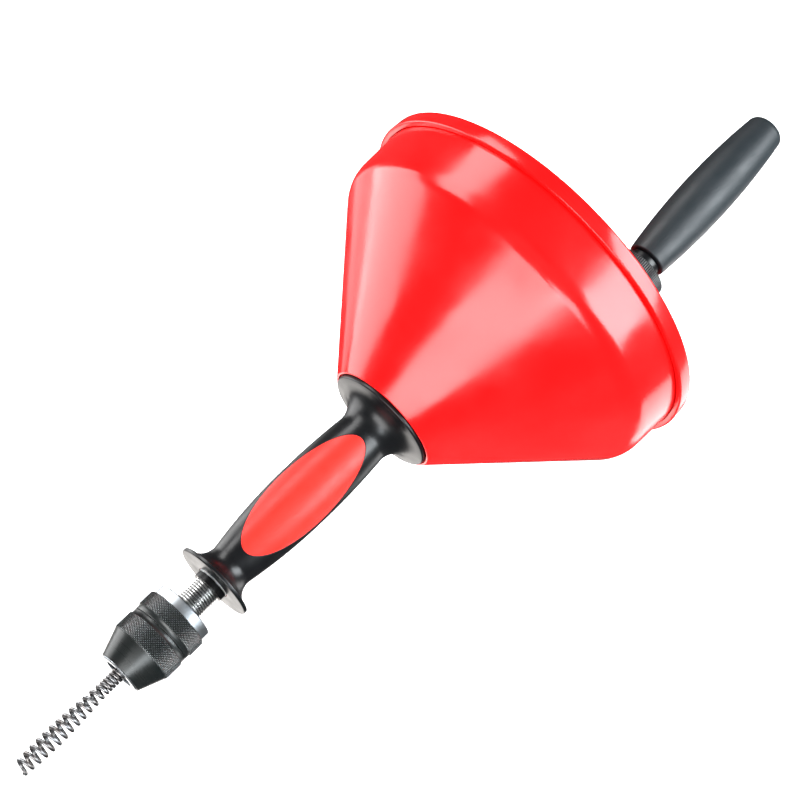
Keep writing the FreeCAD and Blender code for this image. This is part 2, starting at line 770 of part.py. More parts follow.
def make_shell():
    blank = turned("shell_blank", [
        ("lip_x", "lip_bore_r"),
        ("lip_x", "lip_r"),
        ("cone_end_x", "cone_end_r"),
        ("shoulder_end_x", "shoulder_end_r", "shoulder_curve", 1),
        ("shell_back_x", "shell_back_r"),
        ("shell_back_x", "shell_back_r - shell_wall"),
        ("shoulder_end_x", "shoulder_end_r - shell_wall"),
        ("cone_end_x - inner_shift_x", "cone_end_r - inner_shift_r",
         "shoulder_curve - shell_wall", 1),
        ("flange_front_x", "floor_r"),
        ("flange_front_x", "nose_hole_r"),
        ("recess_x", "nose_hole_r"),
        ("recess_x", "lip_bore_r"),
    ])
    angles = bolt_circle(LID_SCREWS, crank_angle + 30)
    bosses = holes("shell_boss", "boss_r", "boss_front_x - shell_back_x",
                   value("shell_back_x"), "boss_pitch_r", angles)
    body = fused("shell_with_bosses", [blank] + bosses)
    screw_holes = holes("shell_screw_hole", "m4_hole_r", "boss_hole_length",
                        value("shell_back_x - hole_overshoot"), "boss_pitch_r", angles)
    nose_holes = holes("shell_nose_hole", "m4_hole_r", "nose_hole_length",
                       value("flange_front_x - hole_overshoot"), "spindle_screw_pitch_r",
                       bolt_circle(SPINDLE_SCREWS, 0))
    cut("drum_shell", body, screw_holes + nose_holes)
    screw = turned("lid_screw_master", [
        ("plate_back_x - m4_head_height", "0"),
        ("plate_back_x - m4_head_height", "m4_head_r"),
        ("plate_back_x", "m4_head_r"),
        ("plate_back_x", "m4_shank_r"),
        ("plate_back_x + lid_screw_length", "m4_shank_r"),
        ("plate_back_x + lid_screw_length", "0"),
    ])
    pitch = Vector(0, value("boss_pitch_r"), 0)
    copies("lid_screws", screw,
           [about_x(angle).multiply(Placement(pitch, Rotation())) for angle in angles])


def crank_place():
    """The crank's frame: X runs back along the crank, and it leans a little to one side."""
    origin = Vector(value("crank_x"), value("crank_y"), value("crank_height"))
    return Placement(origin, Rotation(Vector(0, 0, 1), 180 + value("crank_lean")))


def make_lid(anchor_hole_place):
    disc = turned("lid_disc", [
        ("hub_back_x", "journal_r + journal_gap"),
        ("hub_back_x", "hub_r - hub_edge"),
        ("hub_back_x + hub_edge", "hub_r"),
        ("plate_back_x", "hub_r"),
        ("plate_back_x", "rim_inner_r - rim_inner_draft"),
        ("rim_back_x", "rim_inner_r"),
        ("rim_back_x", "rim_back_r - rim_back_edge"),
        ("rim_back_x + rim_back_edge", "rim_back_r"),
        ("rim_front_x - rim_band", "rim_r"),
        ("rim_front_x - rim_front_edge", "rim_r"),
        ("rim_front_x", "rim_r - rim_front_edge"),
        ("rim_front_x", "rim_bore_r"),
        ("plate_front_x", "rim_bore_r"),
        ("plate_front_x", "hub_r"),
        ("hub_front_x", "hub_r"),
        ("hub_front_x", "journal_r + journal_gap"),
    ])
    ribs = []
    for i, angle in enumerate(bolt_circle(LID_SCREWS, crank_angle)):
        rib = document.addObject("Part::Box", f"lid_rib_{i}")
        rib.setExpression("Length", bound("rib_height + rib_root"))
        rib.setExpression("Width", bound("rim_inner_r - hub_r"))
        rib.setExpression("Height", bound("rib_width"))
        corner = Vector(value("plate_back_x - rib_height"), value("hub_r - rib_overlap"),
                        -value("rib_width") / 2)
        rib.Placement = about_x(angle).multiply(Placement(corner, Rotation()))
        ribs.append(rib)
    boss = ring("crank_boss", "crank_boss_front_z", "crank_boss_back_z", "0", "crank_boss_r",
                crank_place())
    body = fused("lid_with_boss", [disc, boss] + ribs)
    cutters = holes("lid_screw_hole", "m4_hole_r", "lid_screw_hole_length",
                    value("plate_back_x - rib_height"), "boss_pitch_r",
                    bolt_circle(LID_SCREWS, crank_angle + 30))
    cutters += holes("lid_shank_hole", "m4_hole_r", "lid_shank_hole_length",
                     value("hub_back_x - hole_overshoot"), "shank_screw_pitch_r",
                     bolt_circle(SHANK_SCREWS, 0))
    cutters.append(ring("insert_hole", "crank_boss_front_z - hole_overshoot",
                        "crank_boss_back_z + hole_overshoot", "0", "insert_r", crank_place()))
    cutters.append(primitive("Cylinder", "anchor_hole", anchor_hole_place,
                             Radius="m4_hole_r", Height="clip_hole_length"))
    cut("drum_lid", body, cutters)


def make_shank():
    blank = turned("shank_blank", [
        ("shank_end_x", "0"),
        ("shank_end_x", "shank_r - shank_edge"),
        ("shank_end_x + shank_edge", "shank_r"),
        ("journal_back_x", "shank_r"),
        ("journal_back_x", "journal_r"),
        ("hub_front_x", "journal_r"),
        ("hub_front_x", "shank_flange_r"),
        ("shank_flange_front_x", "shank_flange_r"),
        ("shank_flange_front_x", "0"),
    ])
    angles = bolt_circle(SHANK_SCREWS, 0)
    cut("drive_shank", blank, holes("shank_hole", "m4_hole_r", "shank_hole_length",
                                    value("hub_front_x - hole_overshoot"),
                                    "shank_screw_pitch_r", angles))
    screw = turned("shank_screw_master", [
        ("hub_back_x - m4_head_height", "0"),
        ("hub_back_x - m4_head_height", "m4_head_r - shank_screw_head_edge"),
        ("hub_back_x - shank_screw_head_rim", "m4_head_r"),
        ("hub_back_x", "m4_head_r"),
        ("hub_back_x", "m4_shank_r"),
        ("shank_flange_front_x - shank_screw_tip", "m4_shank_r"),
        ("shank_flange_front_x - shank_screw_tip", "0"),
    ])
    pitch = Vector(0, value("shank_screw_pitch_r"), 0)
    copies("shank_screws", screw,
           [about_x(angle).multiply(Placement(pitch, Rotation())) for angle in angles])


# --------------------------------------------------------------- crank

def make_crank():
    place = crank_place()
    ring("crank_insert", "crank_boss_front_z", "crank_boss_back_z", "axle_thread_r",
         "insert_r", place)
    turned("crank_collar", [
        ("crank_boss_back_z", "axle_thread_r"),
        ("crank_boss_back_z", "crank_collar_r - crank_collar_edge"),
        ("crank_boss_back_z + crank_collar_edge", "crank_collar_r"),
        ("crank_collar_back_z - crank_collar_edge", "crank_collar_r"),
        ("crank_collar_back_z", "crank_collar_r - crank_collar_edge"),
        ("crank_collar_back_z", "axle_thread_r"),
    ], place)
    ring("crank_spacer", "crank_collar_back_z", "spacer_back_z", "axle_r", "spacer_r", place)
    turned("crank_axle", [
        ("crank_boss_front_z + axle_recess", "0"),
        ("crank_boss_front_z + axle_recess", "axle_thread_r"),
        ("crank_collar_back_z", "axle_thread_r"),
        ("crank_collar_back_z", "axle_r"),
        ("axle_end_z", "axle_r"),
        ("axle_end_z", "axle_screw_r"),
        ("axle_screw_front_z", "axle_screw_r"),
        ("axle_screw_front_z", "0"),
    ], place)
    ring("crank_washer", "axle_end_z", "axle_washer_back_z", "axle_screw_r", "axle_washer_r",
         place)
    turned("crank_screw", [
        ("axle_screw_front_z", "0"),
        ("axle_screw_front_z", "axle_screw_r"),
        ("axle_washer_back_z", "axle_screw_r"),
        ("axle_washer_back_z", "axle_screw_head_r"),
        ("axle_screw_head_z", "axle_screw_head_r"),
        ("axle_screw_head_z", "0"),
    ], place)
    turned("crank_handle", [
        ("0", "handle_bore_r"),
        ("0", "handle_base_r - handle_edge"),
        ("handle_edge", "handle_base_r"),
        ("handle_crown_z", "handle_crown_r", "handle_curve", 1),
        ("handle_shoulder_z", "handle_shoulder_r", "handle_curve", 1),
        ("handle_end_z", "handle_end_r", "handle_end_curve", 1),
        ("handle_end_z", "handle_pocket_r"),
        ("handle_pocket_z", "handle_pocket_r"),
        ("handle_pocket_z", "handle_bore_r"),
    ], place)
    ring("crank_cap", "handle_cap_z", "handle_end_z", "0", "handle_pocket_r", place)


# ------------------------------------------------------ build and write

NODES = [
    "grip_core", "grip_cover", "grip_bush_front", "grip_bush_rear",
    "spindle_tube", "spindle_nut", "spindle_screws", "thrust_washer_rear",
    "thrust_washer_front", "lock_collar",
    "chuck_body", "chuck_rear_sleeve", "chuck_front_sleeve", "chuck_nut", "chuck_race",
    "chuck_balls", "jaw_1", "jaw_2", "jaw_3",
    "snake_head", "snake_shaft", "snake_lead_in", "snake_coil", "snake_anchor", "anchor_screw",
    "drum_shell", "drum_lid", "lid_screws", "drive_shank", "shank_screws",
    "crank_insert", "crank_collar", "crank_spacer", "crank_axle", "crank_washer",
    "crank_screw", "crank_handle", "crank_cap",
]


def main():
    make_grip()
    make_spindle()
    make_chuck()
    make_cable()
    make_shell()
    make_lid(make_anchor())
    make_shank()
    make_crank()
    document.recompute()
    for item in document.Objects:
        if "Invalid" in item.State or "Error" in item.State:
            raise RuntimeError(f"{item.Label} failed: {item.State}")
    os.makedirs("parts", exist_ok=True)
    for node in NODES:
        shape = document.getObject(node).Shape
        if shape.isNull() or not shape.isValid():
            raise RuntimeError(f"{node} has no valid shape")
        print("%-22s solids %2d  volume %9.0f mm3" % (node, len(shape.Solids), shape.Volume))
        shape.exportStep(f"parts/{node}.step")


main()
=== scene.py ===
import json
import math

import bmesh
import bpy
import numpy as np
from mathutils import Matrix, Vector


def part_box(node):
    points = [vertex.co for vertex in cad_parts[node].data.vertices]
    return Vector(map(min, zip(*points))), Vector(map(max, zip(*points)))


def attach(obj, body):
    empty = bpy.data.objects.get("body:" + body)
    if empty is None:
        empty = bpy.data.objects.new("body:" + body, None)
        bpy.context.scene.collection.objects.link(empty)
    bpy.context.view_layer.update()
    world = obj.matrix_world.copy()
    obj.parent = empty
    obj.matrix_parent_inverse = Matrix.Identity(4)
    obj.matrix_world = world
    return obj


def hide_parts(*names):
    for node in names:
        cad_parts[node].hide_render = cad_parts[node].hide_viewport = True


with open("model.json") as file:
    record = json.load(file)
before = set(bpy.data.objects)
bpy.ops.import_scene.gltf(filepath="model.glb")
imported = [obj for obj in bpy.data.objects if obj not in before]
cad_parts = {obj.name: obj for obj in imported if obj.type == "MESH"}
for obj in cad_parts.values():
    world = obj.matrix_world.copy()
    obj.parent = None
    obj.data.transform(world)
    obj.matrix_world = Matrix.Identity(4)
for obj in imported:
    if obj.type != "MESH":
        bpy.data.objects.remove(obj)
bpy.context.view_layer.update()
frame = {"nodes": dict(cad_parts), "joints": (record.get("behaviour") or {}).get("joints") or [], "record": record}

# Lengths below are in millimetres, in the CAD frame: +X along the spindle to the cable's tip,
# +Z out of the grip's window.  MM turns them into metres.
MM = 0.001
TAU = 2 * math.pi


def span(node):
    """Back station, front station and greatest radius of a node on the spindle, in mm."""
    low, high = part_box(node)
    return low.x / MM, high.x / MM, max(high.y, high.z) / MM


# ------------------------------------------------------------------ camera, light and stage

FOCUS = Vector((-0.078, -0.0006, 0.0))
CAMERA_DISTANCE = 1.109
CAMERA_TILT = math.radians(17.5)
CAMERA_ROLL = math.radians(44.07)
LENS_MM = 92.25


def make_camera():
    back = Vector((math.sin(CAMERA_TILT), 0, math.cos(CAMERA_TILT)))
    sine, cosine = math.sin(CAMERA_ROLL), math.cos(CAMERA_ROLL)
    right = Vector((-cosine * back.z, sine, cosine * back.x))
    up = Vector((-sine * back.z, -cosine, sine * back.x))
    data = bpy.data.cameras.new("camera")
    data.lens = LENS_MM
    data.sensor_width = 36.0
    camera = bpy.data.objects.new("camera", data)
    bpy.context.scene.collection.objects.link(camera)
    turn = Matrix((right, up, back)).transposed().to_4x4()
    camera.matrix_world = Matrix.Translation(FOCUS + back * CAMERA_DISTANCE) @ turn
    bpy.context.scene.camera = camera


def softbox(name, place, target, width, height, radiance, colour=(1, 1, 1), glossy=True):
    """A square-on area light; one that isn't glossy only lifts the shadows."""
    data = bpy.data.lights.new(name, "AREA")
    data.shape = "RECTANGLE"
    data.size = width
    data.size_y = height
    data.energy = radiance * math.pi * width * height
    data.color = colour
    light = bpy.data.objects.new(name, data)
    bpy.context.scene.collection.objects.link(light)
    away = Vector(place) - Vector(target)
    turn = away.to_track_quat("Z", "Y").to_matrix().to_4x4()
    light.matrix_world = Matrix.Translation(place) @ turn
    light.visible_camera = False
    light.visible_glossy = glossy


def make_lights():
    drum = Vector((-0.12, 0.0, 0.05))
    cool, warm = (0.90, 0.96, 1), (1, 0.96, 0.92)
    softbox("front_box", (0.92, 0.05, 0.50), drum, 0.78, 0.50, 8.6)
    softbox("left_low_box", (0.16, -0.62, -0.24), drum, 0.56, 0.50, 5.0)
    softbox("left_under_box", (-0.05, -0.40, -0.39), drum, 0.30, 0.26, 1.3)
    softbox("left_high_box", (-0.20, -0.74, 0.37), (-0.1, 0, 0.05), 0.78, 0.34, 7.0)
    softbox("right_box", (0.76, 0.50, 0.88), (0.1, 0, 0), 0.56, 0.42, 9.0, cool)
    softbox("right_low_box", (-0.36, 0.40, -0.26), (-0.165, 0.1, 0.03), 0.34, 0.30, 3.0)
    softbox("overhead_box", (-0.70, 0.74, 0.84), (-0.25, 0, 0.08), 1.00, 0.74, 13.5, cool)
    softbox("under_box", (0.13, 0.0, -0.40), (0.05, 0, 0), 0.36, 0.36, 2.6, warm)
    softbox("fill_front", (0.75, 0.1, 1.55), drum, 1.5, 1.5, 1.6, glossy=False)
    softbox("fill_back", (-0.75, 0.3, 1.35), drum, 1.3, 1.3, 0.8, glossy=False)


def make_world():
    """White where the camera looks, and a faint fill for everything else."""
    world = bpy.data.worlds.new("studio")
    world.use_nodes = True
    bpy.context.scene.world = world
    nodes, links = world.node_tree.nodes, world.node_tree.links
    nodes.clear()
    out = nodes.new("ShaderNodeOutputWorld")
    mix = nodes.new("ShaderNodeMixShader")
    seen = nodes.new("ShaderNodeBackground")
    seen.inputs["Color"].default_value = (0.96, 0.96, 0.96, 1)
    seen.inputs["Strength"].default_value = 1.0
    fill = nodes.new("ShaderNodeBackground")
    fill.inputs["Color"].default_value = (0.95, 0.97, 1.0, 1)
    fill.inputs["Strength"].default_value = 0.09
    path = nodes.new("ShaderNodeLightPath")
    links.new(path.outputs["Is Camera Ray"], mix.inputs["Fac"])
    links.new(fill.outputs[0], mix.inputs[1])
    links.new(seen.outputs[0], mix.inputs[2])
    links.new(mix.outputs[0], out.inputs["Surface"])


FLOOR_HALF = 4.0
FLOOR_HEIGHT = -0.45


def make_floor():
    """Far enough below the object for no shadow to show, and not seen in its gloss."""
    corners = [(x * FLOOR_HALF, y * FLOOR_HALF, FLOOR_HEIGHT)
               for x, y in ((-1, -1), (1, -1), (1, 1), (-1, 1))]
    mesh = bpy.data.meshes.new("floor")
    mesh.from_pydata(corners, [], [(0, 1, 2, 3)])
    floor = bpy.data.objects.new("floor", mesh)
    bpy.context.scene.collection.objects.link(floor)
    material = bpy.data.materials.new("pale_floor")
    material.use_nodes = True
    shader = material.node_tree.nodes["Principled BSDF"]
    shader.inputs["Base Color"].default_value = (0.9, 0.9, 0.9, 1)
    shader.inputs["Roughness"].default_value = 0.9
    shader.inputs["Specular IOR Level"].default_value = 0.0
    shader.inputs["Emission Color"].default_value = (1, 1, 1, 1)
    shader.inputs["Emission Strength"].default_value = 0.75
    mesh.materials.append(material)
    floor.visible_glossy = False


bpy.context.scene.view_settings.view_transform = "Standard"
bpy.context.scene.view_settings.look = "None"
make_camera()
make_lights()
make_world()
make_floor()


# ---------------------------------------------------------------------------- materials

class Shader:
    """A small builder of procedural materials around one Principled BSDF."""

    def __init__(self, name, colour, roughness, metallic=0.0, **inputs):
        self.material = bpy.data.materials.new(name)
        self.material.use_nodes = True
        self.nodes = self.material.node_tree.nodes
        self.links = self.material.node_tree.links
        self.bsdf = self.nodes["Principled BSDF"]
        self.colour = colour
        self.roughness = roughness
        self.bsdf.inputs["Base Color"].default_value = (*colour, 1)
        self.bsdf.inputs["Roughness"].default_value = roughness
        self.bsdf.inputs["Metallic"].default_value = metallic
        for socket, number in inputs.items():
            self.bsdf.inputs[socket.replace("_", " ")].default_value = number
        self.normal = None
        self.coordinates = self.nodes.new("ShaderNodeTexCoord").outputs["Object"]

    def noise(self, scale, detail=3.0, stretch=(1, 1, 1), distortion=0.0):
        place = self.nodes.new("ShaderNodeMapping")
        place.inputs["Scale"].default_value = stretch
        self.links.new(self.coordinates, place.inputs["Vector"])
        noise = self.nodes.new("ShaderNodeTexNoise")
        noise.inputs["Scale"].default_value = scale
        noise.inputs["Detail"].default_value = detail
        noise.inputs["Distortion"].default_value = distortion
        self.links.new(place.outputs["Vector"], noise.inputs["Vector"])
        return noise.outputs["Fac"]

    def cells(self, scale):
        voronoi = self.nodes.new("ShaderNodeTexVoronoi")
        voronoi.feature = "DISTANCE_TO_EDGE"
        voronoi.inputs["Scale"].default_value = scale
        self.links.new(self.coordinates, voronoi.inputs["Vector"])
        return voronoi.outputs["Distance"]

    def attribute(self, name):
        node = self.nodes.new("ShaderNodeAttribute")
        node.attribute_name = name
        return node.outputs["Fac"]

    def ramp(self, source, low, high, from_low=0.35, from_high=0.65):
        """source, taken from one range of numbers to another."""
        node = self.nodes.new("ShaderNodeMapRange")
        node.inputs["From Min"].default_value = from_low
        node.inputs["From Max"].default_value = from_high
        node.inputs["To Min"].default_value = low
        node.inputs["To Max"].default_value = high
        self.links.new(source, node.inputs["Value"])
        return node.outputs["Result"]

    def vary_colour(self, source, other):
        """Mix the base colour so far towards another one by a 0 to 1 source."""
        mix = self.nodes.new("ShaderNodeMix")
        mix.data_type = "RGBA"
        socket = self.bsdf.inputs["Base Color"]
        if socket.is_linked:
            self.links.new(socket.links[0].from_socket, mix.inputs["A"])
        else:
            mix.inputs["A"].default_value = (*self.colour, 1)
        mix.inputs["B"].default_value = (*other, 1)
        self.links.new(source, mix.inputs["Factor"])
        self.links.new(mix.outputs["Result"], socket)

    def vary_roughness(self, source):
        self.links.new(source, self.bsdf.inputs["Roughness"])

    def vary_metallic(self, source):
        self.links.new(source, self.bsdf.inputs["Metallic"])

    def bump(self, source, height):
        """height is the real height of the bumps, in metres."""
        node = self.nodes.new("ShaderNodeBump")
        node.inputs["Strength"].default_value = 1.0
        node.inputs["Distance"].default_value = height
        self.links.new(source, node.inputs["Height"])
        if self.normal is not None:
            self.links.new(self.normal, node.inputs["Normal"])
        self.normal = node.outputs["Normal"]
        self.links.new(self.normal, self.bsdf.inputs["Normal"])


def make_drum_red():
    red = Shader("drum_red", (0.83, 0.004, 0.0045), 0.18, IOR=1.5)
    red.vary_colour(red.ramp(red.noise(9, 2), 0.0, 0.35), (0.76, 0.007, 0.007))
    red.vary_roughness(red.ramp(red.noise(38, 4), 0.15, 0.24))
    red.bump(red.noise(26, 2), 0.00045)
    red.bump(red.noise(900, 3), 0.000006)
    return red.material


def make_window_red():
    red = Shader("window_red", (0.80, 0.026, 0.017), 0.40, IOR=1.38)
    red.vary_colour(red.ramp(red.noise(60, 3), 0.0, 0.25), (0.77, 0.021, 0.014))
    red.vary_roughness(red.ramp(red.noise(160, 4), 0.36, 0.46))
    red.bump(red.noise(2600, 2), 0.000010)
    return red.material


def make_grip_black():
    black = Shader("grip_satin_black", (0.0030, 0.0034, 0.0040), 0.31, IOR=1.45)
    black.vary_colour(black.ramp(black.noise(70, 4), 0.0, 0.5), (0.006, 0.006, 0.007))
    black.vary_roughness(black.ramp(black.noise(120, 5), 0.28, 0.36))
    black.bump(black.noise(2400, 2), 0.000012)
    black.bump(black.noise(60, 2), 0.00006)
    return black.material


def make_oxide(name, brushed):
    """Black oxide on turned steel, worn bright where the attribute "tip" is 1."""
    oxide = Shader(name, (0.007, 0.010, 0.010), 0.30, 0.35, IOR=1.65)
    oxide.vary_colour(oxide.ramp(oxide.noise(90, 4), 0.0, 0.6), (0.016, 0.017, 0.016))
    if brushed:
        rings = oxide.noise(1.0, 4, (5200, 14, 14))
        oxide.vary_roughness(oxide.ramp(rings, 0.27, 0.36))
        oxide.bump(rings, 0.000008)
        return oxide.material
    lighter_tips = oxide.ramp(oxide.attribute("tip"), 0.0, 1.0, 0.68, 1.0)
    oxide.vary_colour(lighter_tips, (0.76, 0.82, 0.83))
    oxide.vary_metallic(oxide.ramp(oxide.attribute("tip"), 0.3, 0.8, 0.6, 1.0))
    oxide.vary_roughness(oxide.ramp(oxide.noise(400, 3), 0.30, 0.42))
    oxide.bump(oxide.noise(1800, 3), 0.000006)
    return oxide.material


def make_steel(name, colour, roughness, ring_scale=4200, spread=0.10,
               stain=(0.45, 0.44, 0.42), painted_root_shade=False):
    """Turned steel: fine rings round the spindle, uneven tarnish and painted shade at a thread's root."""
    steel = Shader(name, colour, roughness, 1.0, Anisotropic=0.35)
    steel.vary_colour(steel.ramp(steel.noise(140, 4), 0.0, 0.45), stain)
    if painted_root_shade:
        # painted shade: the thread is darkened towards its root, where light falls less
        depth = steel.ramp(steel.attribute("tip"), 0.72, 0.0, 0.05, 0.75)
        steel.vary_colour(depth, (0.10, 0.10, 0.105))
    rings = steel.noise(1.0, 3, (ring_scale, 10, 10))
    steel.vary_roughness(steel.ramp(rings, roughness - spread / 2, roughness + spread))
    steel.bump(rings, 0.000006)
    return steel.material


def make_cable_steel():
    """Drawn spring wire under a film of brown oil."""
    wire = Shader("spring_wire", (0.29, 0.295, 0.305), 0.36, 1.0)
    wire.vary_colour(wire.ramp(wire.noise(170, 3), 0.0, 0.7, 0.40, 0.62), (0.17, 0.145, 0.13))
    wire.vary_roughness(wire.ramp(wire.noise(300, 3), 0.32, 0.42))
    wire.bump(wire.noise(2600, 2), 0.000006)
    return wire.material


def make_handle_slate():
    slate = Shader("handle_slate", (0.013, 0.018, 0.022), 0.36, IOR=1.5)
    slate.vary_colour(slate.ramp(slate.noise(45, 4), 0.0, 0.6), (0.019, 0.023, 0.026))
    slate.vary_roughness(slate.ramp(slate.noise(110, 5), 0.44, 0.54))
    slate.bump(slate.noise(1500, 3), 0.000014)
    marks = slate.ramp(slate.noise(160, 2, (0.35, 1, 1), 1.5), 0.0, 1.0, 0.70, 0.74)
    slate.bump(marks, 0.00005)
    return slate.material


def make_collar_metal():
    """Dark metal with a painted highlight on the tips of teeth, where the attribute "tip" is 1."""
    collar = Shader("collar_metal", (0.008, 0.008, 0.009), 0.36, 0.5)
    collar.vary_colour(collar.ramp(collar.noise(300, 4), 0.0, 0.6), (0.016, 0.016, 0.016))
    # painted highlight: the tops of the teeth are made lighter to set them off from their grooves
    lighter_tips = collar.ramp(collar.attribute("tip"), 0.0, 1.0, 0.75, 1.0)
    collar.vary_colour(lighter_tips, (0.16, 0.165, 0.17))
    collar.vary_roughness(collar.ramp(collar.noise(700, 3), 0.28, 0.42))
    collar.bump(collar.noise(2200, 2), 0.00001)
    return collar.material


def make_zinc():
    zinc = Shader("zinc_plate", (0.62, 0.63, 0.64), 0.26, 1.0)
    zinc.vary_colour(zinc.ramp(zinc.cells(900), 0.0, 0.5, 0.0, 0.2), (0.50, 0.52, 0.56))
    zinc.vary_roughness(zinc.ramp(zinc.noise(600, 3), 0.20, 0.36))
    zinc.bump(zinc.noise(1900, 2), 0.000008)
    return zinc.material


def make_brass():
    brass = Shader("brass", (0.70, 0.50, 0.22), 0.28, 1.0)
    brass.vary_colour(brass.ramp(brass.noise(220, 4), 0.0, 0.6), (0.50, 0.34, 0.15))
    brass.vary_roughness(brass.ramp(brass.noise(500, 3), 0.22, 0.38))
    brass.bump(brass.noise(1500, 2), 0.000008)
    return brass.material


def make_nylon():
    nylon = Shader("nylon", (0.74, 0.73, 0.68), 0.42, Subsurface_Weight=0.15)
    nylon.vary_colour(nylon.ramp(nylon.noise(150, 3), 0.0, 0.5), (0.68, 0.66, 0.60))
    nylon.vary_roughness(nylon.ramp(nylon.noise(400, 3), 0.38, 0.52))
    nylon.bump(nylon.noise(1600, 2), 0.00001)
    return nylon.material


STEEL = make_steel("bright_steel", (0.58, 0.62, 0.66), 0.34)
# the last True paints shade at the thread's root
THREAD_STEEL = make_steel("thread_steel", (0.66, 0.66, 0.65), 0.26, 160, 0.06,
                          (0.56, 0.55, 0.53), True)
LOOKS = {
    "red_plastic": make_drum_red(),
    "grip_black": make_grip_black(),
    "black_sleeve": make_oxide("black_oxide", True),
    "bright_steel": STEEL,
    "cable_steel": make_cable_steel(),
    "handle_slate": make_handle_slate(),
    "nylon": make_nylon(),
    "dark_collar": make_collar_metal(),
    "zinc_screw": make_zinc(),
    "brass": make_brass(),
}
WINDOW_RED = make_window_red()
KNURL_OXIDE = make_oxide("knurl_oxide", False)

for row in frame["record"]["subparts"]:
    mesh = frame["nodes"][row["node"]].data
    for i in range(len(mesh.materials)):
        mesh.materials[i] = LOOKS[row["material_slot"]]


# ---------------------------------------------------------------------------- mesh tools

class Mesh:
    """Vertices in millimetres and faces, gathered before they become one piece.

    tips gives a vertex's "tip": 1 on the top of a knurl, tooth or thread, 0 elsewhere; it sets wear on a knurl's
    tops, a painted highlight on a tooth's tops and painted shade at a thread's root.
    """

    def __init__(self):
        self.points = []
        self.faces = []
        self.flat = set()
        self.tips = {}

    def add(self, points, faces, flat=False):
        """Take in points, and faces that count from the first of them; return its number."""
        start = len(self.points)
        self.points.extend(tuple(p) for p in points)
        first = len(self.faces)
        self.faces.extend(tuple(start + i for i in face) for face in faces)
        if flat:
            self.flat.update(range(first, len(self.faces)))
        return start

    def grid(self, rows, closed_u=False, closed_v=False):
        """rows[v][u] are points; faces join neighbouring rows and columns."""
        height, width = len(rows), len(rows[0])
        points = [p for row in rows for p in row]
        faces = []
        for v in range(height if closed_v else height - 1):
            for u in range(width if closed_u else width - 1):
                next_v, next_u = (v + 1) % height, (u + 1) % width
                faces.append((v * width + u, v * width + next_u,
                              next_v * width + next_u, next_v * width + u))
        return self.add(points, faces)


def about(angle, x, radius):
    """A point round the spindle; angle 0 is +Z and grows towards +Y."""
    return x, radius * math.sin(angle), radius * math.cos(angle)


def filleted(outline, closed):
    """Replace each corner (x, r, fillet) by an arc.  Plain (x, r) corners stay."""
    points = []
    count = len(outline)
    for i, corner in enumerate(outline):
        here = Vector(corner[:2])
        size = corner[2] if len(corner) > 2 else 0.0
        if size == 0 or (not closed and i in (0, count - 1)):
            points.append(here)
            continue
        before = Vector(outline[i - 1][:2]) - here
        after = Vector(outline[(i + 1) % count][:2]) - here
        reach = min(before.length, after.length) * 0.49
        half = before.angle(after) / 2
        cut_back = min(size / math.tan(half), reach)
        radius = cut_back * math.tan(half)
        middle = (before.normalized() + after.normalized()).normalized()
        centre = here + middle * (radius / math.sin(half))
        start = here + before.normalized() * cut_back - centre
        end = here + after.normalized() * cut_back - centre
        turn = start.angle_signed(end)
        steps = max(3, int(abs(turn) / math.radians(14)))
        for k in range(steps + 1):
            c, s = math.cos(-turn * k / steps), math.sin(-turn * k / steps)
            spoke = Vector((c * start.x - s * start.y, s * start.x + c * start.y))
            points.append(centre + spoke)
    return points


def arc(start, end, radius, bulge, steps):
    """Points after start, up to end, on an arc that bows away from the axis if bulge is 1."""
    a, b = Vector(start), Vector(end)
    chord = b - a
    across = Vector((-chord.y, chord.x)).normalized()
    if across.y * bulge < 0:
        across = -across
    centre = (a + b) / 2 - across * math.sqrt(radius ** 2 - (chord.length / 2) ** 2)
    first, last = a - centre, b - centre
    turn = math.atan2(first.x * last.y - first.y * last.x, first.dot(last))
    points = []
    for k in range(1, steps + 1):
        c, s = math.cos(turn * k / steps), math.sin(turn * k / steps)
        spot = centre + Vector((c * first.x - s * first.y, s * first.x + c * first.y))
        points.append((spot.x, spot.y))
    return points


def lathe(mesh, outline, segments, closed=True, place=None):
    """Revolve an outline about X.  An open outline has its ends on the axis."""
    profile = filleted(outline, closed)
    angles = [TAU * k / segments for k in range(segments)]
    turned = Mesh()
    if closed:
        turned.grid([[about(a, p.x, p.y) for a in angles] for p in profile], True, True)
    else:
        inner = profile[1:-1]
        turned.grid([[about(a, p.x, p.y) for a in angles] for p in inner], True)
        last_row = (len(inner) - 1) * segments
        for end, base, flip in ((profile[0], 0, True), (profile[-1], last_row, False)):
            tip = len(turned.points)
            turned.points.append((end.x, 0.0, 0.0))
            for k in range(segments):
                pair = (base + k, base + (k + 1) % segments)
                turned.faces.append((tip, *(pair[::-1] if flip else pair)))
    points = turned.points
    if place is not None:
        points = [tuple(place @ Vector(p)) for p in points]
    mesh.add(points, turned.faces)


def finish_piece(name, mesh, body, slot, nodes=(), material=None, sharp=32.0):
    """Turn gathered geometry into a piece that rides on a body."""
    data = bpy.data.meshes.new(name)
    data.from_pydata([(x * MM, y * MM, z * MM) for x, y, z in mesh.points], [], mesh.faces)
    data.validate()
    data.update()
    smooth = [i not in mesh.flat for i in range(len(data.polygons))]
    data.polygons.foreach_set("use_smooth", smooth)
    if mesh.tips:
        layer = data.attributes.new("tip", "FLOAT", "POINT")
        tips = [mesh.tips.get(i, 0.0) for i in range(len(data.vertices))]
        layer.data.foreach_set("value", tips)
    data.set_sharp_from_angle(angle=math.radians(sharp))
    data.materials.append(material or LOOKS[slot])
    piece = bpy.data.objects.new(name, data)
    bpy.context.scene.collection.objects.link(piece)
    weld(piece)
    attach(piece, body)
    if nodes:
        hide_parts(*nodes)


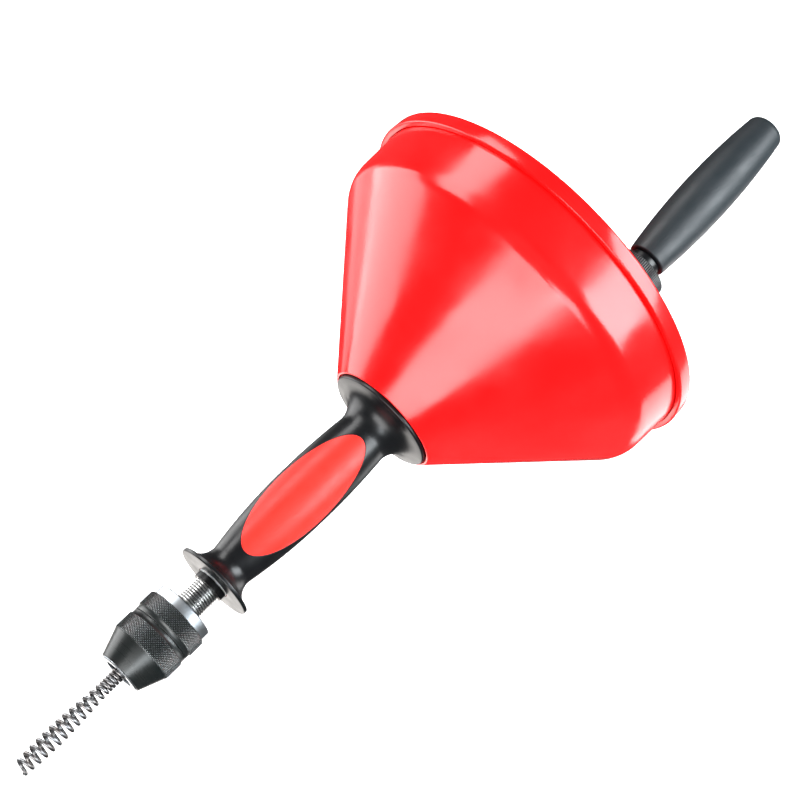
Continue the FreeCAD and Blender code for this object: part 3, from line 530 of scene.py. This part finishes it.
def weld(piece):
    """Join vertices that coincide, and turn every closed shell outwards."""
    work = bmesh.new()
    work.from_mesh(piece.data)
    bmesh.ops.remove_doubles(work, verts=work.verts, dist=0.001 * MM)
    bmesh.ops.recalc_face_normals(work, faces=work.faces)
    work.to_mesh(piece.data)
    work.free()


# ---------------------------------------------------------------------------- drum

DRUM_SEGMENTS = 240
LID_BACK = -185.1
BOSS_BACK = -190.2
LID_SCREW_PITCH_R = 101.3
SHANK_SCREW_PITCH_R = 10.6
CRANK = next(joint for joint in frame["joints"] if joint["name"] == "crank_handle_spin")
CRANK_AXIS = Vector(CRANK["axis"]).normalized()
CRANK_ORIGIN = Vector(CRANK["pos_m"]) / MM
CRANK_SIDE = Vector((0, 0, 1))
CRANK_PLACE = Matrix.Translation(CRANK_ORIGIN) @ Matrix(
    (CRANK_AXIS, CRANK_SIDE.cross(CRANK_AXIS), CRANK_SIDE)).transposed().to_4x4()
CRANK_ANGLE = math.atan2(CRANK_ORIGIN.y, CRANK_ORIGIN.z)


def make_drum_shell():
    """The closed funnel: cone, rounded shoulder and a band that the lid's rim goes over."""
    back, front, _ = span("drum_shell")
    mesh = Mesh()
    cone_end, shoulder_end = (-143.3, 102.8), (-155.0, 107.6)
    outline = [(front - 3.4, 32.55), (front, 32.55, 0.3), (front, 33.6, 0.5), cone_end]
    outline += arc(cone_end, shoulder_end, 18.0, 1, 14)
    outline += [(back, 108.4), (back, 105.4), (-155.0, 104.6)]
    outline += arc((-155.0, 104.6), (-144.3, 99.5), 15.0, 1, 8)
    outline += [(-72.3, 36.0), (-72.3, 8.1), (front - 3.4, 8.1)]
    lathe(mesh, outline, DRUM_SEGMENTS)
    finish_piece("drum_body", mesh, "drum", "red_plastic", ["drum_shell"])


def rounded_bar(mesh, x0, x1, r0, r1, width, edge, angle):
    """A rib along a radius, with a rounded back edge and drafted sides."""
    section = [(x1, -width / 2 - 0.25), (x0 + edge, -width / 2)]
    for k in range(1, 6):
        a = math.pi / 2 * k / 6
        section.append((x0 + edge - edge * math.sin(a), -width / 2 + edge - edge * math.cos(a)))
    section += [(x, -y) for x, y in reversed(section)]
    rows = []
    for radius in np.linspace(r0, r1, 10):
        rows.append([(x, radius * math.sin(angle) + y * math.cos(angle),
                      radius * math.cos(angle) - y * math.sin(angle)) for x, y in section])
    start = mesh.grid(rows, closed_u=True)
    count = len(section)
    mesh.faces.append(tuple(start + i for i in range(count)))
    mesh.faces.append(tuple(start + 9 * count + i for i in reversed(range(count))))


def make_drum_lid():
    """The lid with its rim, its hub for the shank, six ribs and a boss for the crank."""
    mesh = Mesh()
    lathe(mesh, [
        (BOSS_BACK, 6.1), (BOSS_BACK, 16.5, 1.4), (LID_BACK, 16.5, 1.2), (LID_BACK, 104.6, 1.0),
        (-187.2, 105.6, 0.6), (-187.2, 111.5, 1.3), (-178.2, 112.1, 0.9), (-178.2, 108.9),
        (-182.1, 108.9), (-182.1, 16.5), (-181.2, 16.5), (-181.2, 6.1),
    ], DRUM_SEGMENTS)
    lathe(mesh, [(-23.8, 8.0), (-14.6, 8.0), (-14.6, 18.0, 1.0), (-18.6, 18.0), (-23.8, 18.4)],
          96, True, CRANK_PLACE)
    for i in range(6):
        rounded_bar(mesh, -187.0, -184.6, 15.5, 105.6, 2.4, 0.7, CRANK_ANGLE + TAU * i / 6)
    finish_piece("drum_cover", mesh, "drum", "red_plastic", ["drum_lid"])


def make_screw_heads(name, node, x_seat, pitch_r, angles, length):
    """4 mm screws round the spindle's axis: button heads with a hex socket, on their shanks."""
    mesh = Mesh()
    segments = 48
    head_r, height, shank_r = 3.4, 2.0, 1.95
    key_r = head_r * 0.42
    for angle in angles:
        one = Mesh()
        rows = []
        shank = [(length, 0.02), (length, shank_r * 0.8), (length - 0.4, shank_r), (0, shank_r)]
        dome = [(0, head_r - 0.2), (-0.2, head_r)]
        for k in range(1, 8):
            a = math.pi / 2 * k / 9
            dome.append((-0.2 - (height - 0.2) * math.sin(a), head_r * math.cos(a) ** 0.62))
        for x, r in shank + dome:
            rows.append([about(TAU * k / segments, x, r) for k in range(segments)])
        for x, grow in ((-height + 0.06, 1.1), (-height + 0.16, 1.0), (-height * 0.42, 0.97),
                        (-height * 0.40, 0.02)):
            row = []
            for k in range(segments):
                a = TAU * k / segments
                hexagon = math.cos(math.pi / 6) / math.cos((a % (TAU / 6)) - math.pi / 6)
                row.append(about(a, x, key_r * grow * (hexagon if grow > 0.5 else 1.0)))
            rows.append(row)
        one.grid(rows, closed_u=True)
        one.faces.append(tuple(reversed(range(segments))))
        last = len(one.points) - segments
        one.faces.append(tuple(last + k for k in range(segments)))
        turn = Matrix.Rotation(1.3 * angle, 4, "X")
        spot = Matrix.Translation(about(angle, x_seat, pitch_r)) @ turn
        mesh.add([tuple(spot @ Vector(p)) for p in one.points], one.faces)
    finish_piece(name, mesh, "drum", "zinc_screw", [node], sharp=28.0)


# ---------------------------------------------------------------------------- grip

WAIST, CROWN, NECK = (-47.0, 15.4), (-6.0, 17.25), (51.0, 12.8)
REAR_CURVE, FRONT_CURVE = 412.0, 334.0
WINDOW_X, WINDOW_LENGTH, WINDOW_WIDTH = 0.4, 43.5, 16.1
COVER_WALL = 2.0
CORE_R = 11.3
LONG_STEPS, SHORT_STEPS = 64, 48


def barrel_r(x):
    """The grip's radius at a station, on its two long arcs."""
    a, b, radius = (WAIST, CROWN, REAR_CURVE) if x < CROWN[0] else (CROWN, NECK, FRONT_CURVE)
    dx, dy = b[0] - a[0], b[1] - a[1]
    chord = math.hypot(dx, dy)
    drop = math.sqrt(radius ** 2 - (chord / 2) ** 2)
    cx = (a[0] + b[0]) / 2 + dy / chord * drop
    cy = (a[1] + b[1]) / 2 - dx / chord * drop
    return cy + math.sqrt(radius ** 2 - (x - cx) ** 2)


def inner_r(x):
    return max(barrel_r(x) - COVER_WALL, CORE_R)


def border():
    """Points round the edge of half the barrel as (x, angle), and the window angle of each."""
    spots = []
    for k in range(SHORT_STEPS):
        spots.append((1.0, -1 + 2 * k / SHORT_STEPS))
    for k in range(LONG_STEPS):
        spots.append((1 - 2 * k / LONG_STEPS, 1.0))
    for k in range(SHORT_STEPS):
        spots.append((-1.0, 1 - 2 * k / SHORT_STEPS))
    for k in range(LONG_STEPS):
        spots.append((-1 + 2 * k / LONG_STEPS, -1.0))
    edge = []
    for u, v in spots:
        x = (NECK[0] + WAIST[0]) / 2 + u * (NECK[0] - WAIST[0]) / 2
        edge.append(((x, v * math.pi / 2), math.atan2(v, u)))
    return edge


def window_loop(phis, outwards):
    """The window's edge moved outwards along the surface, as (x, angle) at each phi."""
    base = []
    for phi in phis:
        x = WINDOW_X + WINDOW_LENGTH * math.cos(phi)
        base.append((x, math.asin(WINDOW_WIDTH * math.sin(phi) / barrel_r(x))))
    loop = []
    count = len(base)
    for i, (x, angle) in enumerate(base):
        radius = barrel_r(x)
        before, after = base[i - 1], base[(i + 1) % count]
        along = Vector((after[0] - before[0], (after[1] - before[1]) * radius)).normalized()
        out = Vector((along.y, -along.x))
        if out.dot(Vector((x - WINDOW_X, angle * radius))) < 0:
            out = -out
        loop.append((x + out.x * outwards, angle + out.y * outwards / radius))
    return loop


def between(a, b, share):
    """A spot (x, angle) part of the way from a to b."""
    return a[0] + (b[0] - a[0]) * share, a[1] + (b[1] - a[1]) * share


def on_barrel(spot, drop, turn, surface=barrel_r):
    x, angle = spot
    return about(angle + turn, x, surface(x) - drop)


def make_grip_cover():
    """The black grip: two flared flanges and a barrel with a rounded oval window each side."""
    mesh = Mesh()
    edge = border()
    phis = [phi for _, phi in edge]
    fillet = 0.22
    base = window_loop(phis, 0.0)
    first = window_loop(phis, 0.7)
    for turn in (0.0, math.pi):
        rows = [[on_barrel(s, 0, turn, inner_r) for s in base]]
        for k in range(5):
            a = math.pi / 2 * k / 4
            ring = window_loop(phis, fillet * (1 - math.cos(a)))
            rows.append([on_barrel(s, fillet * (1 - math.sin(a)), turn) for s in ring])
        for t in np.linspace(0, 1, 22) ** 1.25:
            rows.append([on_barrel(between(a, b, t), 0, turn)
                         for a, (b, _) in zip(first, edge)])
        mesh.grid(rows, closed_u=True)
        rows = []
        for t in np.linspace(0, 1, 9):
            rows.append([on_barrel(between(a, b, t), 0, turn, inner_r)
                         for a, (b, _) in zip(base, edge)])
        mesh.grid(rows, closed_u=True)
    front = [NECK] + arc(NECK, (62.4, 22.2), 11.0, -1, 16)
    front += filleted([(62.4, 22.2), (62.4, 23.0, 0.75), (64.6, 23.0, 0.75), (64.6, 10.0, 0.3),
                       (63.9, 10.0), (63.9, CORE_R), (NECK[0], CORE_R)], False)[1:]
    rear = [WAIST] + arc(WAIST, (-60.6, 28.0), 14.0, -1, 18)
    rear += filleted([(-60.6, 28.0), (-61.1, 31.75, 0.9), (-64.8, 31.75, 0.9),
                      (-64.8, 17.0, 0.4), (-59.2, 17.0), (-59.2, 13.4), (WAIST[0], 13.4)],
                     False)[1:]
    angles = [math.pi / SHORT_STEPS * k for k in range(2 * SHORT_STEPS)]
    for outline in (front, rear):
        mesh.grid([[about(a, p[0], p[1]) for a in angles] for p in outline], closed_u=True)
    finish_piece("grip_shell", mesh, "grip", "grip_black", ["grip_cover"], sharp=40.0)


def make_grip_core():
    """The red core, which fills both windows up to the barrel's surface."""
    mesh = Mesh()
    phis = [phi for _, phi in border()]
    gap, fillet = 0.04, 0.2
    for turn in (0.0, math.pi):
        base = window_loop(phis, -gap)
        rows = [[on_barrel(s, 0.1, turn, inner_r) for s in base]]
        for k in range(5):
            a = math.pi / 2 * k / 4
            ring = window_loop(phis, -gap - fillet * (1 - math.cos(a)))
            rows.append([on_barrel(s, fillet * (1 - math.sin(a)), turn) for s in ring])
        last = window_loop(phis, -gap - 0.6)
        for t in np.linspace(1, 0.04, 24):
            ring = [(WINDOW_X + (x - WINDOW_X) * t, angle * t) for x, angle in last]
            rows.append([on_barrel(s, 0, turn) for s in ring])
        start = mesh.grid(rows, closed_u=True)
        count = len(phis)
        top = len(mesh.points)
        mesh.points.append(on_barrel((WINDOW_X, 0.0), 0, turn))
        row = start + (len(rows) - 1) * count
        mesh.faces += [(row + k, row + (k + 1) % count, top) for k in range(count)]
        rows = [[on_barrel((WINDOW_X + (x - WINDOW_X) * t, angle * t), 0.1, turn, inner_r)
                 for x, angle in base] for t in np.linspace(1, 0.05, 8)]
        start = mesh.grid(rows, closed_u=True)
        under = len(mesh.points)
        mesh.points.append(on_barrel((WINDOW_X, 0.0), 0.1, turn, inner_r))
        row = start + (len(rows) - 1) * count
        mesh.faces += [(row + k, under, row + (k + 1) % count) for k in range(count)]
    lathe(mesh, [
        (-59.2, 10.0), (-59.2, 13.3), (-47.0, 13.2), (-6.0, 15.0), (50.0, 11.1), (52.0, 11.2),
        (63.85, 11.2), (63.85, 9.5), (50.6, 9.5), (50.6, 8.6), (-45.2, 8.6), (-45.2, 10.0),
    ], 96)
    finish_piece("grip_insert", mesh, "grip", "red_plastic", ["grip_core"], WINDOW_RED, 40.0)


# ---------------------------------------------------------------------------- spindle and chuck

THREAD_PITCH = 1.5
THREAD_TURNS = 12
THREAD_START = 66.9


def make_spindle():
    """The tube with its thread; the thread's slanted ends are inside the collar and chuck."""
    mesh = Mesh()
    back, front, flange_r = span("spindle_tube")
    root_r, crest_r, bore_r = 7.1, 8.0, 5.2
    lathe(mesh, [
        (back, 7.4), (back, flange_r, 0.4), (-72.3, flange_r, 0.4), (-72.3, crest_r),
        (67.2, crest_r), (67.2, root_r - 0.1), (front, root_r - 0.1), (front, bore_r),
        (-70.0, bore_r),
    ], 96)
    # tip 1 on the plain tube, so it gets no painted shade
    mesh.tips.update({i: 1.0 for i in range(len(mesh.points))})
    columns = 96
    # share of a pitch, radius and tip of each line along one turn of the thread; a low tip gets painted shade
    levels = ((0.0, crest_r, 1.0), (0.30, crest_r, 1.0), (0.44, 7.6, 0.6),
              (0.56, root_r + 0.05, 0.1), (0.64, root_r, 0.0), (0.72, root_r + 0.05, 0.1),
              (0.86, 7.6, 0.6))
    rows, tips = [], []
    for turn in range(THREAD_TURNS):
        for share, radius, tip in levels:
            begin = THREAD_START + (turn + share) * THREAD_PITCH
            rows.append([about(-TAU * k / columns, begin - THREAD_PITCH * k / columns, radius)
                         for k in range(columns + 1)])
            tips += [tip] * (columns + 1)
    start = mesh.grid(rows)
    mesh.tips.update({start + i: tip for i, tip in enumerate(tips)})
    finish_piece("spindle_thread", mesh, "drum", "bright_steel", ["spindle_tube"],
                 THREAD_STEEL, 24.0)


KNURL_COUNT = 90
KNURL_COLUMNS = 4 * KNURL_COUNT
KNURL_DEPTH = 0.6
KNURL_STEP = 0.33
SLEEVE_NECK_R = 18.2


def knurl_height(i, j):
    """Diamond knurl on a lattice of quarter pitches: 0 in the grooves, 1 on the flat tops."""
    a, b = (i + j) % 4, (i - j) % 4
    return min(1.0, min(min(a, 4 - a), min(b, 4 - b)) / 2 * 1.15)


def knurled_rows(mesh, x0, x1, outer_r, ceiling):
    """A band of real diamond knurling; ceiling(x) trims it where another surface is lower."""
    columns = KNURL_COLUMNS
    count = round((x1 - x0) / KNURL_STEP)
    points, tips = [], []
    for j in range(count + 1):
        x = x0 + (x1 - x0) * j / count
        for i in range(columns):
            height = knurl_height(i, j)
            radius = min(outer_r - KNURL_DEPTH * (1 - height), ceiling(x))
            points.append(about(TAU * i / columns, x, radius))
            tips.append(height)
    faces = []
    for j in range(count):
        for i in range(columns):
            k = (i + 1) % columns
            a, b = j * columns + i, j * columns + k
            c, d = b + columns, a + columns
            if (i + j + 1) % 4 == 0:
                faces += [(a, b, d), (b, c, d)]
            else:
                faces += [(a, b, c), (a, c, d)]
    start = mesh.add(points, faces, flat=True)
    mesh.tips.update({start + i: tip for i, tip in enumerate(tips)})


def circle(x, radius):
    """A smooth ring of points with as many columns as the knurling."""
    return [about(TAU * k / KNURL_COLUMNS, x, radius) for k in range(KNURL_COLUMNS)]


def plain_rows(mesh, outline):
    """Smooth rows with as many columns as the knurling, so that their edges meet."""
    mesh.grid([circle(p[0], p[1]) for p in filleted(outline, False)], closed_u=True)


def band_edge(x, outer_r, ceiling, row):
    """A row of a knurled band at its edge, so that a side face can close on it."""
    return [about(TAU * i / KNURL_COLUMNS, x,
                  min(outer_r - KNURL_DEPTH * (1 - knurl_height(i, row)), ceiling(x)))
            for i in range(KNURL_COLUMNS)]


def make_rear_sleeve():
    """The fixed knurled sleeve of the chuck, next to its bright rear ring."""
    mesh = Mesh()
    back, front, outer_r = span("chuck_rear_sleeve")
    knurl_end, bore_r = 99.75, 16.6

    def trim(x):
        return outer_r - max(0.0, 0.55 - (x - back), 0.45 - (knurl_end - x))

    knurled_rows(mesh, back, knurl_end, outer_r, trim)
    first = band_edge(back, outer_r, trim, 0)
    last = band_edge(knurl_end, outer_r, trim, round((knurl_end - back) / KNURL_STEP))
    mesh.grid([circle(back, bore_r), first], closed_u=True)
    mesh.grid([last, circle(knurl_end, SLEEVE_NECK_R)], closed_u=True)
    plain_rows(mesh, [(knurl_end, SLEEVE_NECK_R), (front, SLEEVE_NECK_R, 0.25),
                      (front, bore_r), (back, bore_r)])
    finish_piece("chuck_back_sleeve", mesh, "drum", "black_sleeve", ["chuck_rear_sleeve"],
                 KNURL_OXIDE)


def make_front_sleeve():
    """The sleeve that turns: a knurled band and, as a piece of its own, the cone before it."""
    mesh = Mesh()
    back, front, outer_r = span("chuck_front_sleeve")
    knurl_start, cone_x, cone_front_r = 105.7, 115.4, 12.95
    bore_r, nose_bore_r = 16.8, 12.3
    slope = (outer_r - cone_front_r) / (front - cone_x)
    knurl_end = cone_x + KNURL_DEPTH / slope

    def trim(x):
        return min(outer_r - max(0.0, 0.45 - (x - knurl_start)), outer_r - slope * (x - cone_x))

    knurled_rows(mesh, knurl_start, knurl_end, outer_r, trim)
    first = band_edge(knurl_start, outer_r, trim, 0)
    mesh.grid([circle(knurl_start, SLEEVE_NECK_R), first], closed_u=True)
    plain_rows(mesh, [(knurl_start, SLEEVE_NECK_R), (back, SLEEVE_NECK_R, 0.25), (back, bore_r),
                      (knurl_end, bore_r), (knurl_end, outer_r - KNURL_DEPTH)])
    finish_piece("chuck_grip_sleeve", mesh, "chuck_sleeve", "black_sleeve",
                 ["chuck_front_sleeve"], KNURL_OXIDE)
    cone = Mesh()
    lathe(cone, [(knurl_end, outer_r - KNURL_DEPTH), (front, cone_front_r, 0.35),
                 (front, nose_bore_r), (120.6, nose_bore_r), (118.1, bore_r),
                 (knurl_end, bore_r)], 144)
    finish_piece("chuck_cone", cone, "chuck_sleeve", "black_sleeve")


# ---------------------------------------------------------------------------- cable

WIRE_R = 1.08
CLOSE_PITCH = 2.22
OPEN_PITCH = 4.45


def make_cable():
    """One wire: wound close through the machine, then open along the bulb at its tip."""
    back = span("snake_shaft")[0]
    bulb, tip, _ = span("snake_head")
    stations = (bulb, 162.0, 177.0, 190.0, tip)
    radii = (4.0, 5.2, 5.85, 5.4, 4.6)
    x, angle = back + WIRE_R, 0.0
    centres = []
    while x < tip - WIRE_R:
        open_part = min(1.0, max(0.0, (x - bulb + 3.0) / 7.0))
        open_part *= open_part * (3 - 2 * open_part)
        visible = x > 20.0
        step = TAU / (40 if open_part > 0 else 26 if visible else 16)
        outer = float(np.interp(x, stations, radii))
        centres.append((x, angle, outer - WIRE_R))
        x += (CLOSE_PITCH + (OPEN_PITCH - CLOSE_PITCH) * open_part) * step / TAU
        angle -= step
    sides = 10
    points = [Vector(about(a, x, r)) for x, a, r in centres]
    rows = []
    for i, spot in enumerate(points):
        along = (points[min(i + 1, len(points) - 1)] - points[max(i - 1, 0)]).normalized()
        out = Vector((0, spot.y, spot.z)).normalized()
        out = (out - along * out.dot(along)).normalized()
        side = along.cross(out)
        turns = [TAU * k / sides for k in range(sides)]
        rows.append([spot + (out * math.cos(t) + side * math.sin(t)) * WIRE_R for t in turns])
    mesh = Mesh()
    mesh.grid([[tuple(p) for p in row] for row in rows], closed_u=True)
    for row, spot, ahead, order in ((0, points[0], points[0] - points[1], 1),
                                    (len(rows) - 1, points[-1], points[-1] - points[-2], -1)):
        cap = spot + ahead.normalized() * 0.25
        ring = [tuple(spot + (Vector(p) - spot) * 0.75 + ahead.normalized() * 0.2)
                for p in rows[row]]
        start = len(mesh.points)
        mesh.points += ring + [tuple(cap)]
        for k in range(sides):
            n = (k + 1) % sides
            outer = (row * sides + k, row * sides + n, start + n, start + k)
            inner = (start + k, start + n, start + sides)
            mesh.faces += [outer[::order], inner[::order]]
    finish_piece("cable_wire", mesh, "snake", "cable_steel", ["snake_shaft", "snake_head"],
                 sharp=60.0)


# ---------------------------------------------------------------------------- crank

COLLAR_TEETH = 90


def make_collar():
    """The toothed ring that the crank's axle is tightened with."""
    mesh = Mesh()
    outer_r, depth, edge = 16.6, 0.6, 0.7
    inner_r, back, front = 5.0, -14.6, -7.2
    columns = 4 * COLLAR_TEETH
    heights = (0.0, 0.85, 1.0, 0.85)
    rows = []
    for x, drop in ((back, edge), (back + edge, 0.0), (-10.9, 0.0), (front - edge, 0.0),
                    (front, edge)):
        row = []
        for k in range(columns):
            radius = min(outer_r - drop, outer_r - depth * (1 - heights[k % 4]))
            row.append(about(TAU * k / columns, x, radius))
        rows.append(row)
    # a tooth's tip value, which sets its painted highlight
    teeth = [0.0, 0.7, 1.0, 0.7] * COLLAR_TEETH
    tips = [0.2] * columns + teeth * len(rows) + [0.2] * (3 * columns)
    mesh.tips.update(enumerate(tips))
    faces = [[about(TAU * k / columns, x, r) for k in range(columns)] for x, r in (
        (back, inner_r), (front, outer_r - edge - 1.2), (front - 0.3, outer_r - edge - 1.8),
        (front - 0.3, inner_r))]
    rows = faces[:1] + rows + faces[1:]
    mesh.grid([[tuple(CRANK_PLACE @ Vector(p)) for p in row] for row in rows],
              closed_u=True, closed_v=True)
    finish_piece("crank_ring", mesh, "drum", "dark_collar", ["crank_collar"], sharp=22.0)


def make_crank_handle():
    """The barrel-shaped handle, and the cap that closes its bore."""
    mesh = Mesh()
    base, crown, shoulder, end = (0.0, 10.75), (50.0, 13.62), (102.0, 10.5), (106.0, 7.6)
    outline = [(0.0, 4.08), (0.0, 9.9)]
    for k in range(1, 6):
        a = math.pi / 2 * k / 5
        outline.append((0.85 - 0.85 * math.cos(a), 9.9 + 0.85 * math.sin(a)))
    outline += arc((0.85, base[1]), crown, 437.0, 1, 26)
    outline += arc(crown, shoulder, 437.0, 1, 26)
    outline += arc(shoulder, end, 4.6, 1, 14)
    outline += [(106.0, 7.45), (105.7, 7.4), (87.9, 7.4), (87.9, 4.08)]
    lathe(mesh, outline, 128, True, CRANK_PLACE)
    finish_piece("crank_grip_body", mesh, "crank_grip", "handle_slate", ["crank_handle"],
                 sharp=36.0)
    cap = Mesh()
    lathe(cap, [(101.5, 0.0), (101.5, 7.35), (106.0, 7.35, 0.45), (106.0, 1.9, 0.2),
                (105.5, 1.4, 0.2), (105.5, 0.0)], 96, False, CRANK_PLACE)
    finish_piece("crank_grip_cap", cap, "crank_grip", "handle_slate", ["crank_cap"])


def make_spacer():
    """The plain black neck between the toothed ring and the handle."""
    mesh = Mesh()
    lathe(mesh, [(-7.4, 4.0), (-7.4, 8.55), (-0.5, 8.55, 0.5), (-0.5, 4.0)], 72,
          True, CRANK_PLACE)
    finish_piece("crank_neck", mesh, "drum", "grip_black", ["crank_spacer"])


LID_SCREW_ANGLES = [CRANK_ANGLE + TAU * (i + 0.5) / 6 for i in range(6)]
SHANK_SCREW_ANGLES = [math.pi / 2 + TAU * i / 3 for i in range(3)]

make_drum_shell()
make_drum_lid()
make_screw_heads("cover_screws", "lid_screws", LID_BACK, LID_SCREW_PITCH_R,
                 LID_SCREW_ANGLES, 14.0)
make_screw_heads("hub_screws", "shank_screws", BOSS_BACK, SHANK_SCREW_PITCH_R,
                 SHANK_SCREW_ANGLES, 12.0)
make_grip_cover()
make_grip_core()
make_spindle()
make_rear_sleeve()
make_front_sleeve()
make_cable()
make_collar()
make_crank_handle()
make_spacer()
